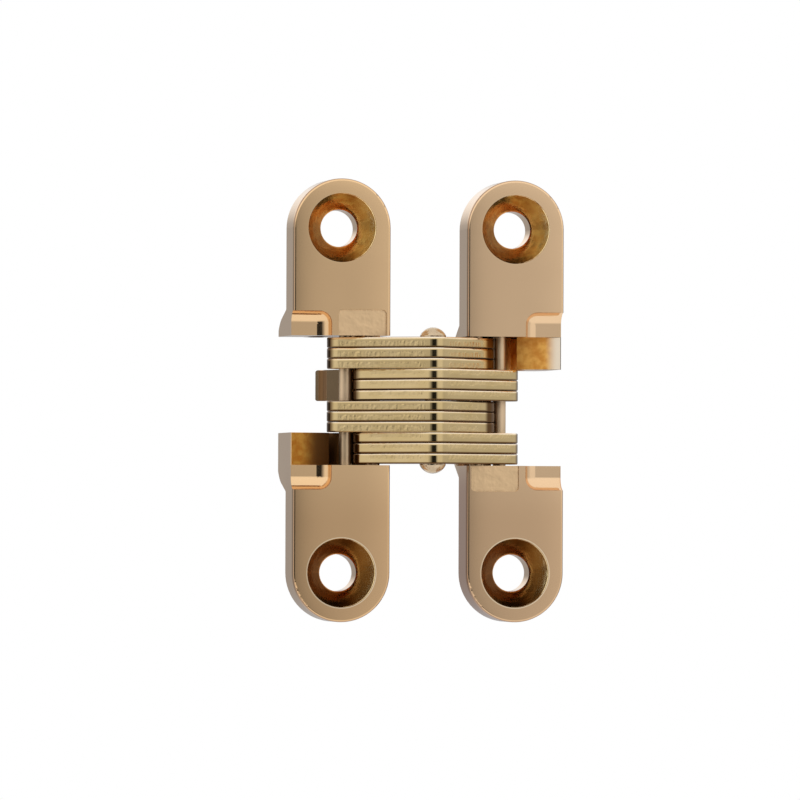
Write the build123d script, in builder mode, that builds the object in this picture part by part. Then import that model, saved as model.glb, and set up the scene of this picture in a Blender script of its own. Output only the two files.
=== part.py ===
# Invisible hinge, laid open flat: two cast leaves, twelve stamped link plates, one rivet and four pins.
# Millimetres, Z up along the hinge's turning axis. The faces look along -Y.
# X = 0 and Z = 0 lie at the left leaf's middle, between its two screw holes.
# Y = 0 is the back of the leaf's flange, which rests on the shoulder of its mortise.
import os

from build123d import *

os.makedirs("parts", exist_ok=True)

# leaf casting
leaf_length = 42.86
leaf_width = 9.525
leaf_gap = 7.6  # between the two leaves, open flat
flange_thickness = 4.3
body_depth = 8.34  # from the face to the back of the cheeks
full_depth = 9.9  # from the face to the back of the rib and the block
stack_play = 0.13  # between the stack of plates and each cheek
edge_radius = 0.22

# cheeks: how far each stands beyond the pocket, on the leaf's outer and inner sides
outer_foot = 2.49
outer_shoulder = 1.74
outer_back = 0.57
inner_foot = 1.04
inner_shoulder = 0.14
inner_back = -1.0
shoulder_depth = 2.3  # behind the flange, outer side
inner_shoulder_depth = 1.57

# recess for a rivet head
recess_width = 3.77
recess_height = 2.37
recess_depth = 1.3
recess_corner = 1.2
recess_floor_round = 1.26

# plain panel on the face
panel_start = 8.9
panel_end = 4.2
panel_height = 2.49
panel_depth = 0.16
panel_corner = 0.4

# web, rib and block behind the plates, from the hinge's middle plane and from the face
web_width = 3.5
web_front = 5.5
facet_inner_depth = 5.875  # the folded plates' flat runs past here at the leaf's inner side
ramp_end_x = 8.75
ramp_end_depth = 3.4
ramp_middle_x = 11.3
ramp_middle_depth = 1.86
rib_front_x = 7.3
rib_front_depth = 4.12
rib_tip_x = 9.38
rib_corner = 0.2
back_corner_x = 5.2
back_corner_depth = 1.4
back_edge_x = 12.5

# screw holes
screw_pitch = 33.34
screw_hole_radius = 1.8
countersink_radius = 3.35
countersink_angle = 76

# linkage, placed from the hinge's middle plane and from the face, open flat
rivet_depth = -1.9  # the rivet stands in front of the faces
fixed_pin_x = 5.193
fixed_pin_depth = 2.7
slide_pin_x = 7.62
slide_pin_depth = 3.25
pin_radius = 0.63
rivet_radius = 0.75
running_clearance = 0.03
slot_clearance = 0.1
slot_into_cheek = 0.8
bore_into_cheek = 1.3
slot_boss_wall = 0.577
slot_boss_end = 0.6  # beyond the slot's end in the cheek

# link plates
plate_pitch = 1.02
plate_thickness = 0.965
upper_stack_start = 0.01  # the plates' two halves meet here, with a hair's breadth between them
lower_stack_start = -0.01
link_end_radius = 1.79
ridge_radius = 1.14
ridge_depth = -2.85
rivet_eye_radius = 1.5
notch_radius = 0.78
plate_edge = 0.11

# rivet heads
head_radius = 1.26
head_height = 0.93
head_rim = 0.12

# derived places
face_y = -flange_thickness
hinge_x = (leaf_width + leaf_gap) / 2
outer_x = -leaf_width / 2
inner_x = leaf_width / 2
pivot_x = hinge_x - fixed_pin_x
pivot_y = face_y + fixed_pin_depth
slide_x = hinge_x - slide_pin_x
slide_y = face_y + slide_pin_depth
rivet_y = face_y + rivet_depth
ridge_y = face_y + ridge_depth
group_height = 3 * plate_pitch
group_gap = 0.05
pocket_half_height = upper_stack_start + 2 * group_height + stack_play
block_top = -upper_stack_start - group_height - group_gap
flange_back = 0.0
rib_height = group_height - group_gap
stack_middle = (upper_stack_start + lower_stack_start) / 2

# The slide pin's path through the leaf as the hinge folds, as three arcs that follow on from each other:
# each point is X from the hinge's middle, and depth.
slide_path = [
    [(-7.62, 3.25), (-8.136, 3.215), (-8.755, 3.481)],
    [(-8.755, 3.481), (-9.356, 4.081), (-9.866, 5.192)],
    [(-9.866, 5.192), (-9.99, 6.665), (-9.467, 8.593)],
]

# Recess for the rivet's head, at the outer corner of a cheek: one round corner in plan, a round floor edge.
with BuildPart() as recess_cutter:
    with BuildSketch(Plane.XZ.offset(-face_y)):
        with Locations((outer_x - 1, pocket_half_height - 1)):
            Rectangle(recess_width + 1, recess_height + 1, align=(Align.MIN, Align.MIN))
        fillet(vertices().sort_by(Axis.X)[-2:].sort_by(Axis.Y)[-1], recess_corner)
    extrude(amount=-recess_depth)
    floor_edges = faces().sort_by(Axis.Y)[-1].edges()
    fillet(
        floor_edges.filter_by(
            lambda e: e.center().X > outer_x - 0.9 and e.center().Z > pocket_half_height - 0.9
        ),
        recess_floor_round,
    )

# Body behind the flange. Its ends slope, and the slope starts farther out on the outer side.
with BuildPart() as body:
    for side_x, foot, shoulder, back_end, depth in (
        (outer_x, outer_foot, outer_shoulder, outer_back, shoulder_depth),
        (inner_x, inner_foot, inner_shoulder, inner_back, inner_shoulder_depth),
    ):
        with BuildSketch(Plane.YZ.offset(side_x)):
            with BuildLine():
                upper = Polyline(
                    (-0.4, pocket_half_height + foot + 0.2),
                    (flange_back, pocket_half_height + foot),
                    (depth, pocket_half_height + shoulder),
                )
                upper_round = TangentArc(
                    upper @ 1,
                    (body_depth + face_y, pocket_half_height + back_end),
                    tangent=upper % 1,
                )
                back = Line(upper_round @ 1, (body_depth + face_y, -pocket_half_height - back_end))
                lower = Polyline(
                    (-0.4, -pocket_half_height - foot - 0.2),
                    (flange_back, -pocket_half_height - foot),
                    (depth, -pocket_half_height - shoulder),
                )
                TangentArc(lower @ 1, back @ 1, tangent=lower % 1)
                Line(lower @ 0, upper @ 0)
            make_face()
    loft(ruled=True)

# Web behind the plates on the inner side: it joins the upper cheek to the lower one.
with BuildPart() as web:
    with Locations((inner_x, face_y + web_front, 0)):
        Box(
            web_width,
            body_depth - web_front,
            2 * pocket_half_height,
            align=(Align.MAX, Align.MIN, Align.CENTER),
        )
    add(body.part, mode=Mode.INTERSECT)

# Rib beside the second group of plates, with a flat sloping outer face and round corners.
with BuildPart() as rib:
    with BuildSketch(Plane.XY.offset(group_gap)):
        with BuildLine():
            Polyline(
                (inner_x, face_y + facet_inner_depth),
                (hinge_x - rib_front_x, face_y + rib_front_depth),
                (hinge_x - rib_tip_x, face_y + full_depth),
                (hinge_x - back_corner_x, face_y + full_depth),
                (inner_x, face_y + full_depth - back_corner_depth),
                close=True,
            )
        make_face()
    extrude(amount=rib_height)
    with BuildSketch(Plane.XZ.offset(-face_y)):
        with Locations((hinge_x - rib_tip_x, group_gap)):
            Rectangle(2 * rib_tip_x, rib_height, align=(Align.MIN, Align.MIN))
        fillet(vertices().sort_by(Axis.X)[:2], rib_corner)
    extrude(amount=-full_depth - 1, mode=Mode.INTERSECT)

# Block beside the fourth group: a floor for the rivet that curves down under the folded plates.
# Its inner lower corner falls away with the slope of the cheek.
with BuildPart() as block:
    with BuildSketch(Plane.XY.offset(block_top)):
        with BuildLine():
            floor_curve = ThreePointArc(
                (outer_x, face_y + recess_depth),
                (hinge_x - ramp_middle_x, face_y + ramp_middle_depth),
                (hinge_x - ramp_end_x, face_y + ramp_end_depth),
            )
            Polyline(
                floor_curve @ 1,
                (inner_x, face_y + facet_inner_depth),
                (inner_x, face_y + full_depth - back_corner_depth),
                (hinge_x - back_corner_x, face_y + full_depth),
                (hinge_x - back_edge_x, face_y + full_depth),
                (outer_x, face_y + body_depth),
                floor_curve @ 0,
            )
        make_face()
    extrude(amount=-(pocket_half_height + block_top))
    corner = Vector(inner_x, face_y + facet_inner_depth + 0.2, -pocket_half_height)
    along_side = Vector(0, full_depth - facet_inner_depth, 1.66)
    along_back = Vector(-4.7, full_depth - facet_inner_depth, 0)
    corner_cut = Plane(corner, x_dir=along_side, z_dir=along_side.cross(along_back))
    split(bisect_by=corner_cut, keep=Keep.TOP)

# Boss behind each cheek that closes the far end of the slide pin's slot.
with BuildPart() as slot_boss:
    with BuildSketch(Plane.XY.offset(pocket_half_height)):
        for x, depth in slide_path[-1][1:]:
            with Locations((hinge_x + x, face_y + depth)):
                Circle(pin_radius + slot_clearance + slot_boss_wall)
        make_hull()
    extrude(amount=slot_into_cheek + slot_boss_end)

# One leaf casting. The right leaf is the same casting turned half round.
with BuildPart() as left_leaf:
    # flange with round ends
    with BuildSketch(Plane.XZ.offset(-face_y)):
        SlotOverall(leaf_length, leaf_width, rotation=90)
    extrude(amount=-flange_thickness)
    fillet(edges().group_by(Axis.Y)[0], edge_radius)
    chamfer(edges().group_by(Axis.Y)[-1], 0.8 * edge_radius)
    add(body.part)

    # pocket for the link plates, open to both sides and to the back
    with Locations((0, face_y - 1, 0)):
        Box(
            leaf_width + 2,
            full_depth + 2,
            2 * pocket_half_height,
            align=(Align.CENTER, Align.MIN, Align.CENTER),
            mode=Mode.SUBTRACT,
        )
    add([web.part, rib.part, block.part])
    add([slot_boss.part, mirror(slot_boss.part, about=Plane.XY)])

    # slot that the slide pin runs along, through the block and a little way into both cheeks
    with BuildSketch(Plane.XY.offset(-pocket_half_height - slot_into_cheek)):
        for points in slide_path:
            with BuildLine() as slot_line:
                ThreePointArc(*[(hinge_x + x, face_y + depth) for x, depth in points])
            SlotArc(slot_line.edge(), 2 * (pin_radius + slot_clearance))
    extrude(amount=2 * (pocket_half_height + slot_into_cheek), mode=Mode.SUBTRACT)

    # blind bores for the fixed pin, in both cheeks
    with Locations((pivot_x, pivot_y, 0)):
        Cylinder(pin_radius, 2 * (pocket_half_height + bore_into_cheek), mode=Mode.SUBTRACT)

    # recesses for the rivet's heads
    add(recess_cutter.part, mode=Mode.SUBTRACT)
    add(mirror(recess_cutter.part, about=Plane.XY), mode=Mode.SUBTRACT)

    # shallow panel on the face beside the pocket, left plain
    with BuildSketch(Plane.XZ.offset(-face_y)):
        with Locations((hinge_x - panel_start, pocket_half_height - 1)):
            Rectangle(panel_start - panel_end, panel_height + 1, align=(Align.MIN, Align.MIN))
        fillet(vertices().sort_by(Axis.Y)[-2:], panel_corner)
    extrude(amount=-panel_depth, mode=Mode.SUBTRACT)

    # countersunk screw holes
    with Locations(Plane.XZ.offset(-face_y)):
        with Locations((0, screw_pitch / 2), (0, -screw_pitch / 2)):
            CounterSinkHole(
                screw_hole_radius, countersink_radius, counter_sink_angle=countersink_angle
            )

left_leaf.part.label = "left_leaf"
export_step(left_leaf.part, "parts/left_leaf.step")

with BuildPart() as right_leaf:
    with Locations(Location((2 * hinge_x, 0, 0), (0, 180, 0))):
        add(left_leaf.part)
right_leaf.part.label = "right_leaf"
export_step(right_leaf.part, "parts/right_leaf.step")

# Outline of a link that turns on the right leaf's fixed pin and slides in the left leaf.
slide_to_rivet = Vector(slide_pin_x, rivet_depth - slide_pin_depth).normalized()
across = Vector(-slide_to_rivet.Y, slide_to_rivet.X)
slide_centre = Vector(slide_x, slide_y)
with BuildSketch() as right_link_outline:
    with BuildSketch(mode=Mode.PRIVATE) as pivot_arm:
        with Locations((hinge_x + fixed_pin_x, pivot_y)):
            Circle(link_end_radius)
        with Locations((hinge_x, ridge_y)):
            Circle(ridge_radius)
        with Locations((hinge_x, rivet_y)):
            Circle(rivet_eye_radius)
        make_hull()
    with BuildSketch(mode=Mode.PRIVATE) as slide_arm:
        with Locations((slide_x, slide_y)):
            Circle(link_end_radius)
        with Locations((hinge_x, ridge_y)):
            Circle(ridge_radius)
        with Locations((hinge_x, rivet_y)):
            Circle(rivet_eye_radius)
        make_hull()
    add(pivot_arm.sketch)
    add(slide_arm.sketch)
    # notch that clears the left leaf's fixed pin
    with BuildLine() as notch_line:
        Polyline(
            slide_centre + slide_to_rivet * 2.32 + across * 0.90,
            slide_centre + slide_to_rivet * 2.62 + across * 2.20,
            slide_centre + slide_to_rivet * 2.80 + across * 3.00,
        )
    SlotArc(notch_line.wire(), 2 * notch_radius, mode=Mode.SUBTRACT)
    with Locations((hinge_x + fixed_pin_x, pivot_y)):
        Circle(pin_radius + running_clearance, mode=Mode.SUBTRACT)
    with Locations((hinge_x, rivet_y)):
        Circle(rivet_radius + running_clearance, mode=Mode.SUBTRACT)
    with Locations((slide_x, slide_y)):
        Circle(pin_radius, mode=Mode.SUBTRACT)

# The other links are its mirror image, and the rivet fits them tightly.
with BuildSketch() as left_link_outline:
    mirror(right_link_outline.sketch, about=Plane.YZ.offset(hinge_x))

# Twelve link plates in four groups of three, from the top down: right, left, right, left.
for count in range(12):
    side = ["right", "left"][(count // 3) % 2]
    number = 3 * (count // 6) + count % 3 + 1
    outline = right_link_outline if side == "right" else left_link_outline
    if count < 6:
        slot_bottom = upper_stack_start + 2 * group_height - (count + 1) * plate_pitch
    else:
        slot_bottom = lower_stack_start - (count - 5) * plate_pitch
    bottom_z = slot_bottom + (plate_pitch - plate_thickness) / 2
    with BuildPart() as link:
        with BuildSketch(Plane.XY.offset(bottom_z)):
            add(outline.sketch)
        extrude(amount=plate_thickness)
        flat_edges = faces().filter_by(Axis.Z).edges()
        holes = flat_edges.filter_by(GeomType.CIRCLE).filter_by(lambda e: e.is_closed)
        rim = flat_edges - holes
        fillet(rim, plate_edge)
    link.part.label = f"{side}_link_{number}"
    export_step(link.part, f"parts/{side}_link_{number}.step")

# Rivet through the middle of every plate, with a domed head at each end.
stack_half_height = upper_stack_start - stack_middle + 2 * group_height
with BuildPart() as centre_rivet:
    with Locations((hinge_x, rivet_y, stack_middle)):
        Cylinder(rivet_radius, 2 * stack_half_height)
    dome_height = head_height - head_rim
    dome_radius = (head_radius**2 + dome_height**2) / (2 * dome_height)
    for end in (1, -1):
        head_start = stack_middle + end * stack_half_height
        with BuildPart(mode=Mode.PRIVATE) as head:
            with Locations((hinge_x, rivet_y, head_start + end * head_height / 2)):
                Cylinder(head_radius, head_height)
            with Locations((hinge_x, rivet_y, head_start + end * (head_height - dome_radius))):
                Sphere(dome_radius, mode=Mode.INTERSECT)
        add(head.part)
centre_rivet.part.label = "centre_rivet"
export_step(centre_rivet.part, "parts/centre_rivet.step")

# Two fixed pins, pressed into the leaves, and two slide pins, pressed into the links.
pins = [
    ("left_fixed_pin", pivot_x, pivot_y, pocket_half_height + bore_into_cheek - 0.05),
    ("right_fixed_pin", 2 * hinge_x - pivot_x, pivot_y, pocket_half_height + bore_into_cheek - 0.05),
    ("left_slide_pin", slide_x, slide_y, pocket_half_height + slot_into_cheek - 0.08),
    ("right_slide_pin", 2 * hinge_x - slide_x, slide_y, pocket_half_height + slot_into_cheek - 0.08),
]
for name, x, y, half_length in pins:
    with BuildPart() as pin:
        with Locations((x, y, 0)):
            Cylinder(pin_radius, 2 * half_length)
        chamfer(edges().filter_by(GeomType.CIRCLE), 0.12)
    pin.part.label = name
    export_step(pin.part, f"parts/{name}.step")
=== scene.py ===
import math

import bpy
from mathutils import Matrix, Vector

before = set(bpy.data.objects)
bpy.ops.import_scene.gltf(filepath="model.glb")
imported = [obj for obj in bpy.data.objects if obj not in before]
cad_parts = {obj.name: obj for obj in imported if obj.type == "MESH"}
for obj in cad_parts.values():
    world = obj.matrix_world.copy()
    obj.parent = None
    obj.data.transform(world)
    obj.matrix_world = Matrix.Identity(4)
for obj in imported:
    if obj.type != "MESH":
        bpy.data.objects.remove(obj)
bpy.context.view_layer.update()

# Leaves: zinc die castings, barrelled bright and brass plated, and screwed into their mortises. The
# faces are polished and a little cambered. The countersinks and the block's floor, which barrelling
# doesn't reach, keep a deep amber tone. The right leaf is the left one turned half round.


def fine_noise(finish, name, scale, detail, place):
    """Soft random shading in a finish's nodes, with about scale patches to the mm."""
    node = finish.node_tree.nodes.new("ShaderNodeTexNoise")
    node.name = name
    node.inputs["Scale"].default_value = scale
    node.inputs["Detail"].default_value = detail
    finish.node_tree.links.new(place.outputs["Vector"], node.inputs["Vector"])
    return node.outputs["Fac"]


def plated_metal(name, tone, deep_tone, roughness, patches):
    """Plated metal whose tone and gloss drift slowly. Its place node measures the piece in mm."""
    finish = bpy.data.materials.new(name)
    finish.use_nodes = True
    nodes, links = finish.node_tree.nodes, finish.node_tree.links
    shader = nodes["Principled BSDF"]
    shader.inputs["Metallic"].default_value = 1.0
    found = nodes.new("ShaderNodeTexCoord")
    place = nodes.new("ShaderNodeMapping")
    place.name = "place"
    place.inputs["Scale"].default_value = (1000.0, 1000.0, 1000.0)
    links.new(found.outputs["Object"], place.inputs["Vector"])
    drift = fine_noise(finish, "drift", patches, 3.0, place)
    tones = nodes.new("ShaderNodeValToRGB")
    tones.name = "tones"
    tones.color_ramp.elements[0].position = 0.3
    tones.color_ramp.elements[0].color = (*deep_tone, 1)
    tones.color_ramp.elements[1].position = 0.7
    tones.color_ramp.elements[1].color = (*tone, 1)
    links.new(drift, tones.inputs["Fac"])
    links.new(tones.outputs["Color"], shader.inputs["Base Color"])
    gloss = nodes.new("ShaderNodeMapRange")
    gloss.name = "gloss"
    gloss.inputs["From Min"].default_value = 0.3
    gloss.inputs["From Max"].default_value = 0.7
    gloss.inputs["To Min"].default_value = roughness * 0.85
    gloss.inputs["To Max"].default_value = roughness * 1.2
    links.new(drift, gloss.inputs["Value"])
    links.new(gloss.outputs["Result"], shader.inputs["Roughness"])
    return finish


def arithmetic(finish, operation, *terms):
    """Joins terms from left to right in a finish's nodes. A term is a number or a node's output."""
    total = terms[0]
    for term in terms[1:] or (None,):
        node = finish.node_tree.nodes.new("ShaderNodeMath")
        node.operation = operation
        for socket, part in zip(node.inputs, (total, term)):
            if isinstance(part, bpy.types.NodeSocket):
                finish.node_tree.links.new(part, socket)
            elif part is not None:
                socket.default_value = part
        total = node.outputs["Value"]
    return total


def overlap(finish, *areas):
    """1 where all the areas are 1, and weaker where one of them is."""
    return arithmetic(finish, "MULTIPLY", *areas)


def either(finish, *areas):
    """As strong as the strongest of the areas."""
    return arithmetic(finish, "MAXIMUM", *areas)


def fade(finish, measure, start, end):
    """0 before start, 1 beyond end, smooth between."""
    node = finish.node_tree.nodes.new("ShaderNodeMapRange")
    node.interpolation_type = "SMOOTHSTEP"
    node.inputs["From Min"].default_value = start
    node.inputs["From Max"].default_value = end
    finish.node_tree.links.new(measure, node.inputs["Value"])
    return node.outputs["Result"]


def band(finish, measure, start, full, last, end):
    """Rises from start to full, and falls again from last to end."""
    return overlap(finish, fade(finish, measure, start, full), fade(finish, measure, end, last))


def lay_over(finish, under, over, amount, kind="RGBA", mode="MIX"):
    """Lays one tone or roughness over another, by an amount from 0 to 1."""
    node = finish.node_tree.nodes.new("ShaderNodeMix")
    node.data_type = kind
    node.blend_type = mode
    for name, part in (("Factor", amount), ("A", under), ("B", over)):
        if isinstance(part, bpy.types.NodeSocket):
            finish.node_tree.links.new(part, node.inputs[name])
        else:
            node.inputs[name].default_value = part
    return node.outputs["Result"]


def set_relief(finish, height):
    """Gives a finish its fine relief, with the height in mm."""
    relief = finish.node_tree.nodes.new("ShaderNodeBump")
    relief.inputs["Distance"].default_value = 0.001
    finish.node_tree.links.new(height, relief.inputs["Height"])
    shader = finish.node_tree.nodes["Principled BSDF"]
    finish.node_tree.links.new(relief.outputs["Normal"], shader.inputs["Normal"])


def wear_finish(node, finish, edge):
    """Gives a CAD piece its finish, and rounds its sharp edges a little to catch the light."""
    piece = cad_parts[node]
    piece.data.materials.clear()
    piece.data.materials.append(finish)
    flats = piece.modifiers.new("flats", "DECIMATE")
    flats.decimate_type = "DISSOLVE"
    flats.angle_limit = math.radians(1.0)
    rounding = piece.modifiers.new("rounding", "BEVEL")
    rounding.width = edge
    rounding.segments = 2
    rounding.limit_method = "ANGLE"
    rounding.angle_limit = math.radians(35)
    rounding.harden_normals = False
    smooth = piece.modifiers.new("smooth", "WEIGHTED_NORMAL")
    smooth.keep_sharp = True
    smooth.weight = 100


# the casting in mm: its own middle is at X = 0 and Z = 0, and its flange's back at Y = 0
flange_thickness = 4.3
half_width = 4.76
screw_height = 16.67
countersink_radius = 3.35
pocket_end = 6.27
block_top = -3.1
panel_left, panel_right, panel_top = -0.34, 4.36, 8.77
right_leaf_x = 17.125

lower_end_shade_tone = (0.88, 0.85, 0.83, 1)
floor_light_tone = (0.96, 0.84, 0.68, 1)
cast_skin_tone = (0.79, 0.55, 0.315, 1)
glint_gold = (1.0, 0.88, 0.52, 1)
painted_shade_tone = (0.13, 0.056, 0.016, 1)
copper_tone = (0.36, 0.23, 0.15, 1)
lip_highlight_tone = (1.0, 0.80, 0.56, 1)

# for each leaf: which way up it hangs, its plating, the darker tone on its lower flank, the painted
# shade on the block's floor, and from where to where along that floor the amber and the painted
# shade set in
for leaf, upward, tone, lower_flank_tone, floor_shade_tone, amber_from, shade_from in (
    (
        "left_leaf",
        1.0,
        (0.81, 0.545, 0.30),
        (0.98, 0.96, 0.92, 1),
        (0.50, 0.36, 0.16, 1),
        (-4.74, -4.68),
        (-3.9, -1.9),
    ),
    (
        "right_leaf",
        -1.0,
        (0.80, 0.555, 0.335),
        (0.70, 0.52, 0.43, 1),
        (0.92, 0.76, 0.47, 1),
        (-4.5, -3.2),
        (-0.6, 0.6),
    ),
):
    deep_tone = tuple(0.97 * part for part in tone)
    casting = plated_metal(f"{leaf}_plating", tone, deep_tone, roughness=0.10, patches=0.22)
    nodes, links = casting.node_tree.nodes, casting.node_tree.links
    place = nodes["place"]
    if leaf == "right_leaf":
        place.inputs["Rotation"].default_value = (0.0, math.pi, 0.0)
        place.inputs["Location"].default_value = (right_leaf_x, 0.0, 0.0)
    where = nodes.new("ShaderNodeSeparateXYZ")
    links.new(place.outputs["Vector"], where.inputs["Vector"])
    x, z = where.outputs["X"], where.outputs["Z"]
    depth = arithmetic(casting, "ADD", where.outputs["Y"], flange_thickness)
    # up and to the right as the hinge hangs, for either leaf
    height = arithmetic(casting, "MULTIPLY", z, upward)
    across = arithmetic(casting, "MULTIPLY", x, upward)
    lower_end = fade(casting, height, -6.0, -12.0)

    # countersinks, measured from their edge
    past_screw = arithmetic(
        casting, "SUBTRACT", arithmetic(casting, "ABSOLUTE", z), screw_height
    )
    x_squared = arithmetic(casting, "MULTIPLY", x, x)
    past_squared = arithmetic(casting, "MULTIPLY", past_screw, past_screw)
    from_axis = arithmetic(casting, "SQRT", arithmetic(casting, "ADD", x_squared, past_squared))
    from_edge = arithmetic(casting, "SUBTRACT", from_axis, countersink_radius)
    sunk = overlap(
        casting, fade(casting, from_edge, 0.01, -0.05), band(casting, depth, 0.03, 0.1, 1.8, 2.0)
    )
    # block's floor: below the plates, between the cheek and the second group
    floor_area = overlap(
        casting,
        band(casting, z, -pocket_end, -pocket_end + 0.05, block_top - 0.06, block_top),
        fade(casting, x, 0.02 - half_width, 0.08 - half_width),
        band(casting, depth, 1.2, 1.3, 9.5, 9.7),
    )
    amber_side = fade(casting, x, *amber_from)
    amber_floor = overlap(casting, floor_area, amber_side)
    unpolished = either(casting, sunk, amber_floor)
    # sunk panel beside the pocket, left bare, with its grainy cast skin
    panel = overlap(
        casting,
        band(
            casting,
            x,
            panel_left - 0.08,
            panel_left + 0.02,
            panel_right - 0.02,
            panel_right + 0.08,
        ),
        band(
            casting, z, pocket_end - 0.27, pocket_end - 0.07, panel_top - 0.02, panel_top + 0.08
        ),
        band(casting, depth, 0.02, 0.12, 0.2, 0.3),
    )
    # the face and the flank lie at even distances from the line between the two screws
    past_end = arithmetic(casting, "MAXIMUM", past_screw, 0.0)
    off_line = arithmetic(
        casting, "ADD", x_squared, arithmetic(casting, "MULTIPLY", past_end, past_end)
    )
    flank = overlap(
        casting,
        band(casting, depth, 0.2, 0.3, flange_thickness - 0.15, flange_thickness - 0.05),
        fade(casting, off_line, (half_width - 0.11) ** 2, (half_width - 0.05) ** 2),
        fade(casting, height, -5.0, -9.0),
    )

    # amber plating, where the casting isn't polished
    mottle = fine_noise(casting, "mottle", 1.6, 2.0, place)
    amber = nodes.new("ShaderNodeValToRGB")
    amber.color_ramp.elements[0].position = 0.35
    amber.color_ramp.elements[0].color = (0.80, 0.43, 0.135, 1)
    amber.color_ramp.elements[1].position = 0.65
    amber.color_ramp.elements[1].color = (1.0, 0.70, 0.29, 1)
    links.new(mottle, amber.inputs["Fac"])
    colour = nodes["tones"].outputs["Color"]
    # painted shade: the lower ends of both leaves darker, standing for the dimmer light below
    colour = lay_over(casting, colour, lower_end_shade_tone, lower_end, mode="MULTIPLY")
    # a darker, browner tone on the lower flank
    colour = lay_over(casting, colour, lower_flank_tone, flank, mode="MULTIPLY")
    colour = lay_over(casting, colour, amber.outputs["Color"], unpolished)
    # painted shade: the block's floor darkened, the left leaf's most, as its plates shade it
    colour = lay_over(casting, colour, floor_shade_tone, amber_floor, mode="MULTIPLY")
    # painted light: the floor's outer part pale, where the lamp reaches it past the plates
    pale_side = arithmetic(casting, "SUBTRACT", 1.0, amber_side)
    colour = lay_over(casting, colour, floor_light_tone, overlap(casting, floor_area, pale_side))
    colour = lay_over(casting, colour, cast_skin_tone, panel)
    # painted highlight: brighter gold on the countersinks' right sides, for their glints
    glint_side = overlap(casting, sunk, fade(casting, across, 0.8, 2.6), 0.8)
    colour = lay_over(casting, colour, glint_gold, glint_side)

    # painted shade beside the slide pin's slot and at the slot's end, deep in the pocket
    beside_slot = overlap(casting, floor_area, fade(casting, x, *shade_from))
    slot_end = overlap(
        casting,
        band(casting, depth, 7.7, 7.9, 9.35, 9.45),
        fade(casting, x, 0.0, -0.05),
        band(casting, z, 0.0, 0.06, 3.0, 3.06),
    )
    # painted shade in the countersinks, where they reflect the dark room: most on their lower and
    # left sides, and more in the two lower ones
    rise = overlap(casting, past_screw, upward, arithmetic(casting, "SIGN", z))
    low_side = fade(casting, arithmetic(casting, "ADD", rise, across), 0.8, -2.8)
    left_side = overlap(casting, fade(casting, across, 2.4, 0.2), 0.88)
    countersink_shade = either(
        casting,
        overlap(casting, low_side, 0.76),
        overlap(casting, left_side, 0.58),
        overlap(casting, lower_end, arithmetic(casting, "ADD", left_side, 0.08)),
    )
    darkening = either(
        casting, beside_slot, overlap(casting, slot_end, 0.85), overlap(casting, sunk, countersink_shade)
    )
    # painted shade: beside the slot, at the slot's end and in the countersinks
    colour = lay_over(casting, colour, painted_shade_tone, darkening)

    # rims, where the plating wears to its copper coat, and a painted highlight on the countersinks'
    # lips
    rim = overlap(
        casting,
        band(casting, depth, 0.02, 0.08, 0.2, 0.28),
        fade(casting, from_edge, 0.15, 0.25),
        arithmetic(casting, "SUBTRACT", 1.0, panel),
    )
    colour = lay_over(casting, colour, copper_tone, rim)
    # painted highlight: a thin bright ring round each countersink, strongest at the lower ends
    lip_highlight_area = overlap(
        casting,
        band(casting, from_edge, -0.04, 0.0, 0.07, 0.12),
        fade(casting, depth, 0.2, 0.1),
        arithmetic(casting, "ADD", overlap(casting, lower_end, 0.85), 0.1),
    )
    colour = lay_over(casting, colour, lip_highlight_tone, lip_highlight_area)
    shader = nodes["Principled BSDF"]
    links.new(colour, shader.inputs["Base Color"])

    # gloss: polished, bare in the countersinks, and rough as cast
    cast_skin = either(casting, floor_area, overlap(casting, panel, 0.5), slot_end)
    bare_gloss = lay_over(casting, 0.12, 0.6, cast_skin, kind="FLOAT")
    bare = either(casting, sunk, floor_area, slot_end, panel)
    gloss = lay_over(casting, nodes["gloss"].outputs["Result"], bare_gloss, bare, kind="FLOAT")
    links.new(gloss, shader.inputs["Roughness"])

    # camber of the polished face, and the unpolished floors' fine unevenness
    camber = overlap(casting, fade(casting, depth, 0.7, 0.2), off_line, off_line, -0.00009)
    grainy = either(casting, unpolished, overlap(casting, panel, 2.0))
    unevenness = overlap(casting, grainy, mottle, 0.014)
    set_relief(casting, arithmetic(casting, "ADD", camber, unevenness))
    wear_finish(leaf, casting, edge=0.00009)

# Link plates: stamped from strip, tumbled and brass plated, in four groups of three. Each turns on
# one leaf's fixed pin and on the rivet, and its far end slides in the other leaf. The press leaves
# a smooth band and a torn one along a blank's edge. The mirrored links lie the other way up.
plate_pitch = 1.02
group_end = 3 * plate_pitch
hinge_x = 8.56
near_end = -8.9  # along a plate from its ridge
edge_highlight_tone = (0.86, 0.74, 0.58, 1)
joint_grease_and_shade_tone = (0.12, 0.06, 0.02, 1)

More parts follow.
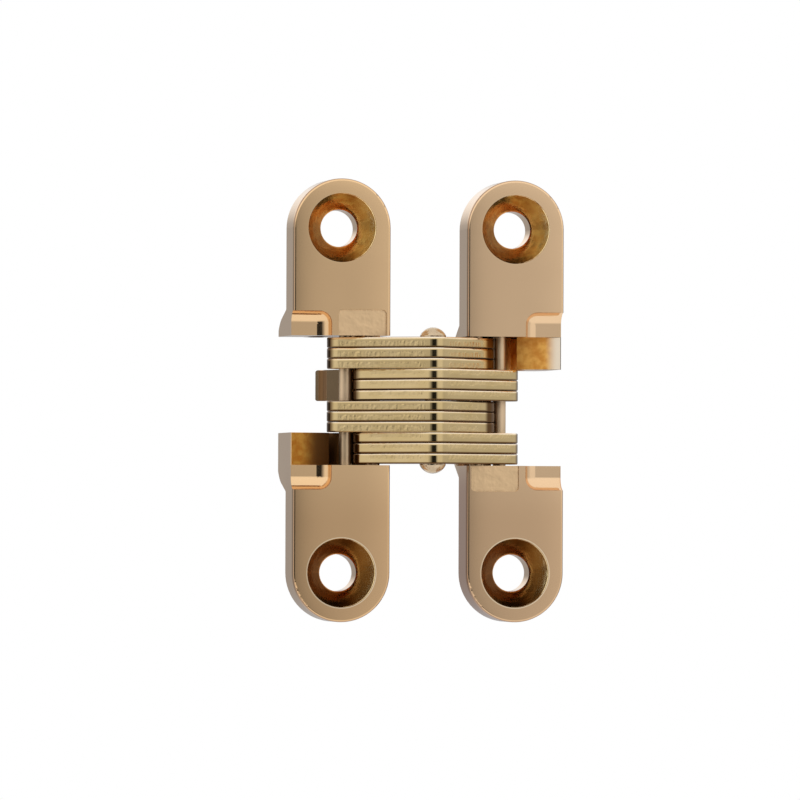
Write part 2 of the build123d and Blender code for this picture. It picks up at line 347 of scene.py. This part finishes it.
# for each side: which way its plates run from the ridge, where the torn band rises and falls
# across a plate's edge, and how far along it reaches
for side, outward, torn_part, torn_end in (
    ("left", -1.0, (0.35, 0.6, 0.8, 0.92), 6.1),
    ("right", 1.0, (0.08, 0.2, 0.45, 0.7), 5.3),
):
    stamping = plated_metal(
        f"{side}_link_plating",
        tone=(0.64, 0.485, 0.255),
        deep_tone=(0.58, 0.43, 0.205),
        roughness=0.08,
        patches=0.5,
    )
    nodes, links = stamping.node_tree.nodes, stamping.node_tree.links
    shader, place = nodes["Principled BSDF"], nodes["place"]
    where = nodes.new("ShaderNodeSeparateXYZ")
    links.new(place.outputs["Vector"], where.inputs["Vector"])
    z = where.outputs["Z"]
    from_ridge = arithmetic(stamping, "SUBTRACT", where.outputs["X"], hinge_x)
    along = arithmetic(stamping, "MULTIPLY", from_ridge, outward)
    # how far up its plate's edge a place lies, from 0 to 1
    plates_up = arithmetic(
        stamping, "DIVIDE", arithmetic(stamping, "ADD", z, 10 * plate_pitch), plate_pitch
    )
    up_edge = arithmetic(stamping, "FRACT", plates_up)
    torn = overlap(
        stamping,
        band(stamping, up_edge, *torn_part),
        fade(stamping, arithmetic(stamping, "ABSOLUTE", from_ridge), 0.8, 1.6),
        band(stamping, along, near_end, near_end + 0.9, torn_end - 0.6, torn_end),
    )
    streaked = nodes.new("ShaderNodeMapping")
    streaked.inputs["Scale"].default_value = (1.0, 1.0, 0.45)
    links.new(place.outputs["Vector"], streaked.inputs["Vector"])
    grain = fine_noise(stamping, "grain", 3.6, 2.0, streaked)
    torn_height = overlap(stamping, torn, arithmetic(stamping, "SUBTRACT", grain, 0.5), 0.09)
    # tumbling rolls the upper edge off
    rolled_off = overlap(stamping, fade(stamping, up_edge, 0.74, 0.98), -0.025)
    set_relief(stamping, arithmetic(stamping, "ADD", torn_height, rolled_off))
    torn_gloss = lay_over(stamping, nodes["gloss"].outputs["Result"], 0.3, torn, kind="FLOAT")
    links.new(torn_gloss, shader.inputs["Roughness"])
    # painted highlight: each plate's upper edge paler, where it faces the light above
    edge_highlight_area = fade(stamping, up_edge, 0.81, 0.92)
    colour = nodes["tones"].outputs["Color"]
    colour = lay_over(stamping, colour, edge_highlight_tone, edge_highlight_area)
    # grease and painted shade in the joints, less of it at the ends of the middle groups, most of
    # it between the two, and some round the pins and in the torn band's pits
    from_group_end = arithmetic(
        stamping,
        "ABSOLUTE",
        arithmetic(stamping, "SUBTRACT", arithmetic(stamping, "ABSOLUTE", z), group_end),
    )
    between_groups = overlap(stamping, fade(stamping, from_group_end, 0.3, 0.2), 0.7)
    in_joint = overlap(
        stamping,
        either(
            stamping, fade(stamping, up_edge, 0.20, 0.08), fade(stamping, up_edge, 0.96, 0.985)
        ),
        arithmetic(stamping, "SUBTRACT", 1.0, between_groups),
    )
    darkening = either(
        stamping,
        in_joint,
        fade(stamping, arithmetic(stamping, "ABSOLUTE", z), 0.14, 0.08),
        fade(stamping, along, torn_end + 0.3, torn_end + 0.8),
        fade(stamping, along, near_end, near_end - 0.4),
        overlap(stamping, torn, fade(stamping, grain, 0.55, 0.40), 0.08),
    )
    # grease and painted shade: joints, plate ends and pits darkened
    colour = lay_over(stamping, colour, joint_grease_and_shade_tone, darkening)
    links.new(colour, shader.inputs["Base Color"])
    for number in range(1, 7):
        plate = f"{side}_link_{number}"
        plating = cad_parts[plate].modifiers.new("plating", "DISPLACE")
        plating.mid_level = 0.0
        plating.strength = 0.00002
        wear_finish(plate, stamping, edge=0.00002)

# Pins: drawn rod, plated bright. Two are pressed into the leaves and carry the plates, and two join
# the plates' far ends and slide in the leaves' slots.
drawn_plating = plated_metal(
    "drawn_plating",
    tone=(0.67, 0.50, 0.33),
    deep_tone=(0.58, 0.43, 0.27),
    roughness=0.40,
    patches=0.22,
)
for pin in ("left_fixed_pin", "right_fixed_pin", "left_slide_pin", "right_slide_pin"):
    wear_finish(pin, drawn_plating, edge=0.00003)

# Rivet: drawn rod through the middle of all twelve plates. Both ends are headed over the stack,
# which leaves small dents in them.
headed_plating = plated_metal(
    "headed_plating",
    tone=(0.62, 0.48, 0.32),
    deep_tone=(0.46, 0.35, 0.23),
    roughness=0.15,
    patches=1.2,
)
dents = overlap(headed_plating, headed_plating.node_tree.nodes["drift"].outputs["Fac"], 0.2)
set_relief(headed_plating, dents)
wear_finish("centre_rivet", headed_plating, edge=0.00003)

# Studio: a white room with dark screens in front, to the left and behind on the left, so that the
# metal shows them as dark bands beside bright ones. What the camera sees stays plain white.
studio = bpy.data.worlds.new("studio")
bpy.context.scene.world = studio
studio.use_nodes = True
nodes, links = studio.node_tree.nodes, studio.node_tree.links
found = nodes.new("ShaderNodeTexCoord")
look = nodes.new("ShaderNodeSeparateXYZ")
links.new(found.outputs["Generated"], look.inputs["Vector"])
ahead = arithmetic(studio, "MULTIPLY", look.outputs["Y"], -1.0)
bearing = arithmetic(studio, "ARCTAN2", look.outputs["X"], ahead)
screens = nodes.new("ShaderNodeValToRGB")
stops = screens.color_ramp.elements
stops[0].position, stops[1].position = 0.0, 1.0
stops[0].color = stops[1].color = (0.45, 0.45, 0.46, 1)
# bearing in degrees from the hinge's front, to the right, and how bright the room is there
for degrees, brightness in (
    (-158, 0.40),
    (-146, 0.34),
    (-140, 0.16),
    (-124, 0.16),
    (-116, 0.92),
    (-88, 1.0),
    (-70, 1.0),
    (-58, 0.72),
    (-50, 0.45),
    (-32, 0.02),
    (-1, 0.02),
    (4, 0.14),
    (7, 0.42),
    (11, 0.65),
    (16, 0.78),
    (24, 1.0),
    (60, 1.0),
    (78, 0.76),
    (100, 0.76),
    (150, 0.6),
):
    stop = stops.new((degrees + 180) / 360)
    stop.color = (brightness, brightness, brightness, 1)
turn = arithmetic(studio, "DIVIDE", arithmetic(studio, "ADD", bearing, math.pi), 2 * math.pi)
links.new(turn, screens.inputs["Fac"])
ceiling = fade(studio, look.outputs["Z"], 0.03, 0.24)
ground = fade(studio, look.outputs["Z"], -0.2, -0.5)
light = lay_over(studio, screens.outputs["Color"], (1.2, 1.2, 1.2, 1), ceiling)
light = lay_over(studio, light, (1.1, 1.1, 1.1, 1), ground)
room = nodes["Background"]
room.inputs["Strength"].default_value = 0.95
links.new(light, room.inputs["Color"])
backdrop = nodes.new("ShaderNodeBackground")
backdrop.inputs["Color"].default_value = (1, 1, 1, 1)
backdrop.inputs["Strength"].default_value = 1.0
seen = nodes.new("ShaderNodeLightPath")
surroundings = nodes.new("ShaderNodeMixShader")
links.new(seen.outputs["Is Camera Ray"], surroundings.inputs["Fac"])
links.new(room.outputs["Background"], surroundings.inputs[1])
links.new(backdrop.outputs["Background"], surroundings.inputs[2])
links.new(surroundings.outputs["Shader"], nodes["World Output"].inputs["Surface"])

# Camera: a long lens, 11 degrees to the hinge's left and a touch below it.
hinge_middle = Vector((0.0085625, -0.0043, 0.0))
azimuth, elevation, roll = math.radians(-11.0), math.radians(-0.9), math.radians(0.2)
distance = 0.70
pixel = 0.001 / 10.338  # at the hinge, with 800 of them across the picture
forward = Vector(
    (
        -math.sin(azimuth) * math.cos(elevation),
        math.cos(azimuth) * math.cos(elevation),
        -math.sin(elevation),
    )
)
sideways = Vector((math.cos(azimuth), math.sin(azimuth), 0.0))
lens = bpy.data.cameras.new("camera")
lens.sensor_width = 36.0
lens.lens = lens.sensor_width * distance / (800 * pixel)
lens.clip_start = 0.01
camera = bpy.data.objects.new("camera", lens)
aim = hinge_middle - 29 * pixel * sideways + Vector((0, 0, 0.6 * pixel))
camera.location = aim - forward * distance
camera.rotation_euler = forward.to_track_quat("-Z", "Y").to_euler()
camera.rotation_euler.rotate_axis("Z", roll)
bpy.context.scene.collection.objects.link(camera)
bpy.context.scene.camera = camera

bpy.context.scene.view_settings.view_transform = "Standard"
